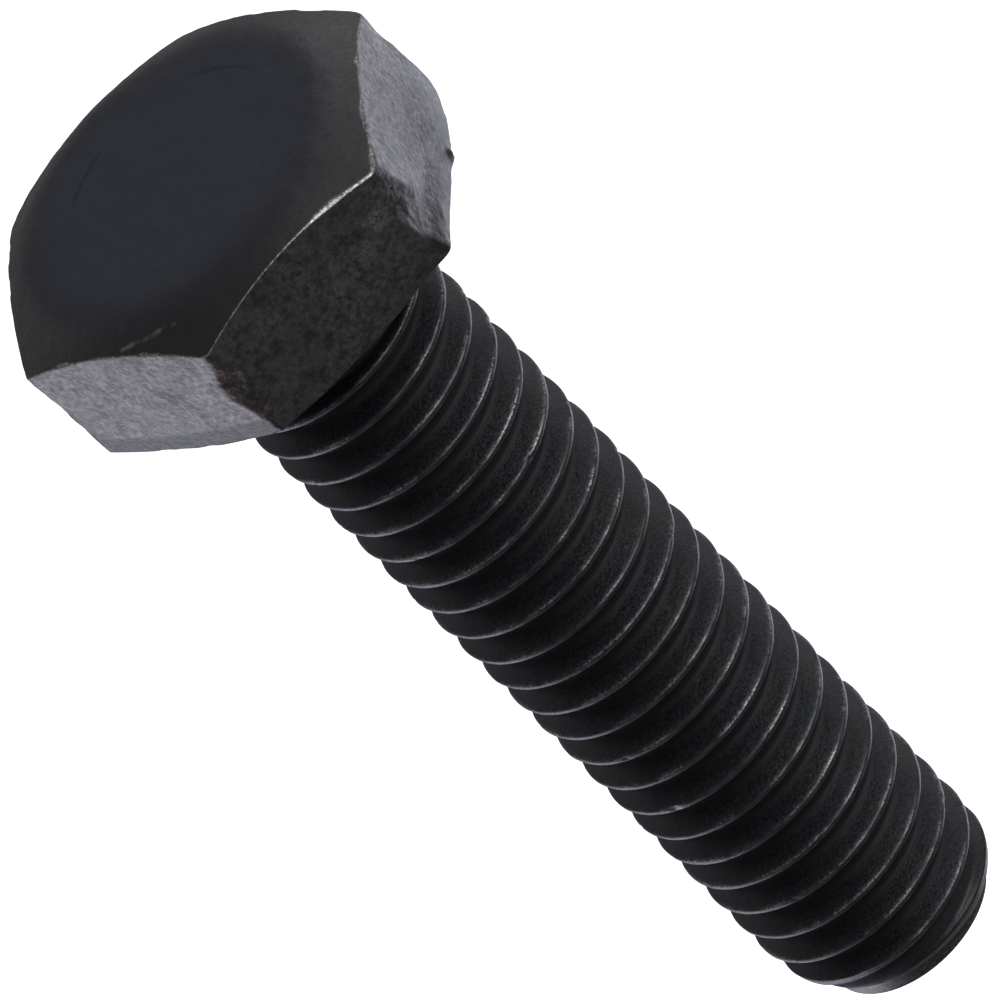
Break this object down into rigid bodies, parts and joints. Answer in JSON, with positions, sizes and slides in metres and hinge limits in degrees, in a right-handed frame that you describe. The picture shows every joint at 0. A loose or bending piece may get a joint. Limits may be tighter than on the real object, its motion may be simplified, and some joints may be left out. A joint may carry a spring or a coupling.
{
  "type": "hex bolt",
  "caption": "Fully threaded hexagon head bolt with a chamfered head, an under-head fillet and a chamfered point.",
  "frame": {"origin": "centre of the bearing face under the head", "axes": "+Z along the bolt's axis towards the head, so the thread runs along -Z"},
  "size_m": [0.0112, 0.0098, 0.0292],
  "materials": {
    "head_oxide": "black-oxide steel, forged, worn to grey on the flats and edges",
    "thread_oxide": "black-oxide steel, rolled thread, oiled, with thin bright worn crests"
  },
  "bodies": {
    "root": {"hex_head": "head_oxide", "neck": "thread_oxide", "threaded_shank": "thread_oxide", "point": "thread_oxide"}
  },
  "joints": []
}
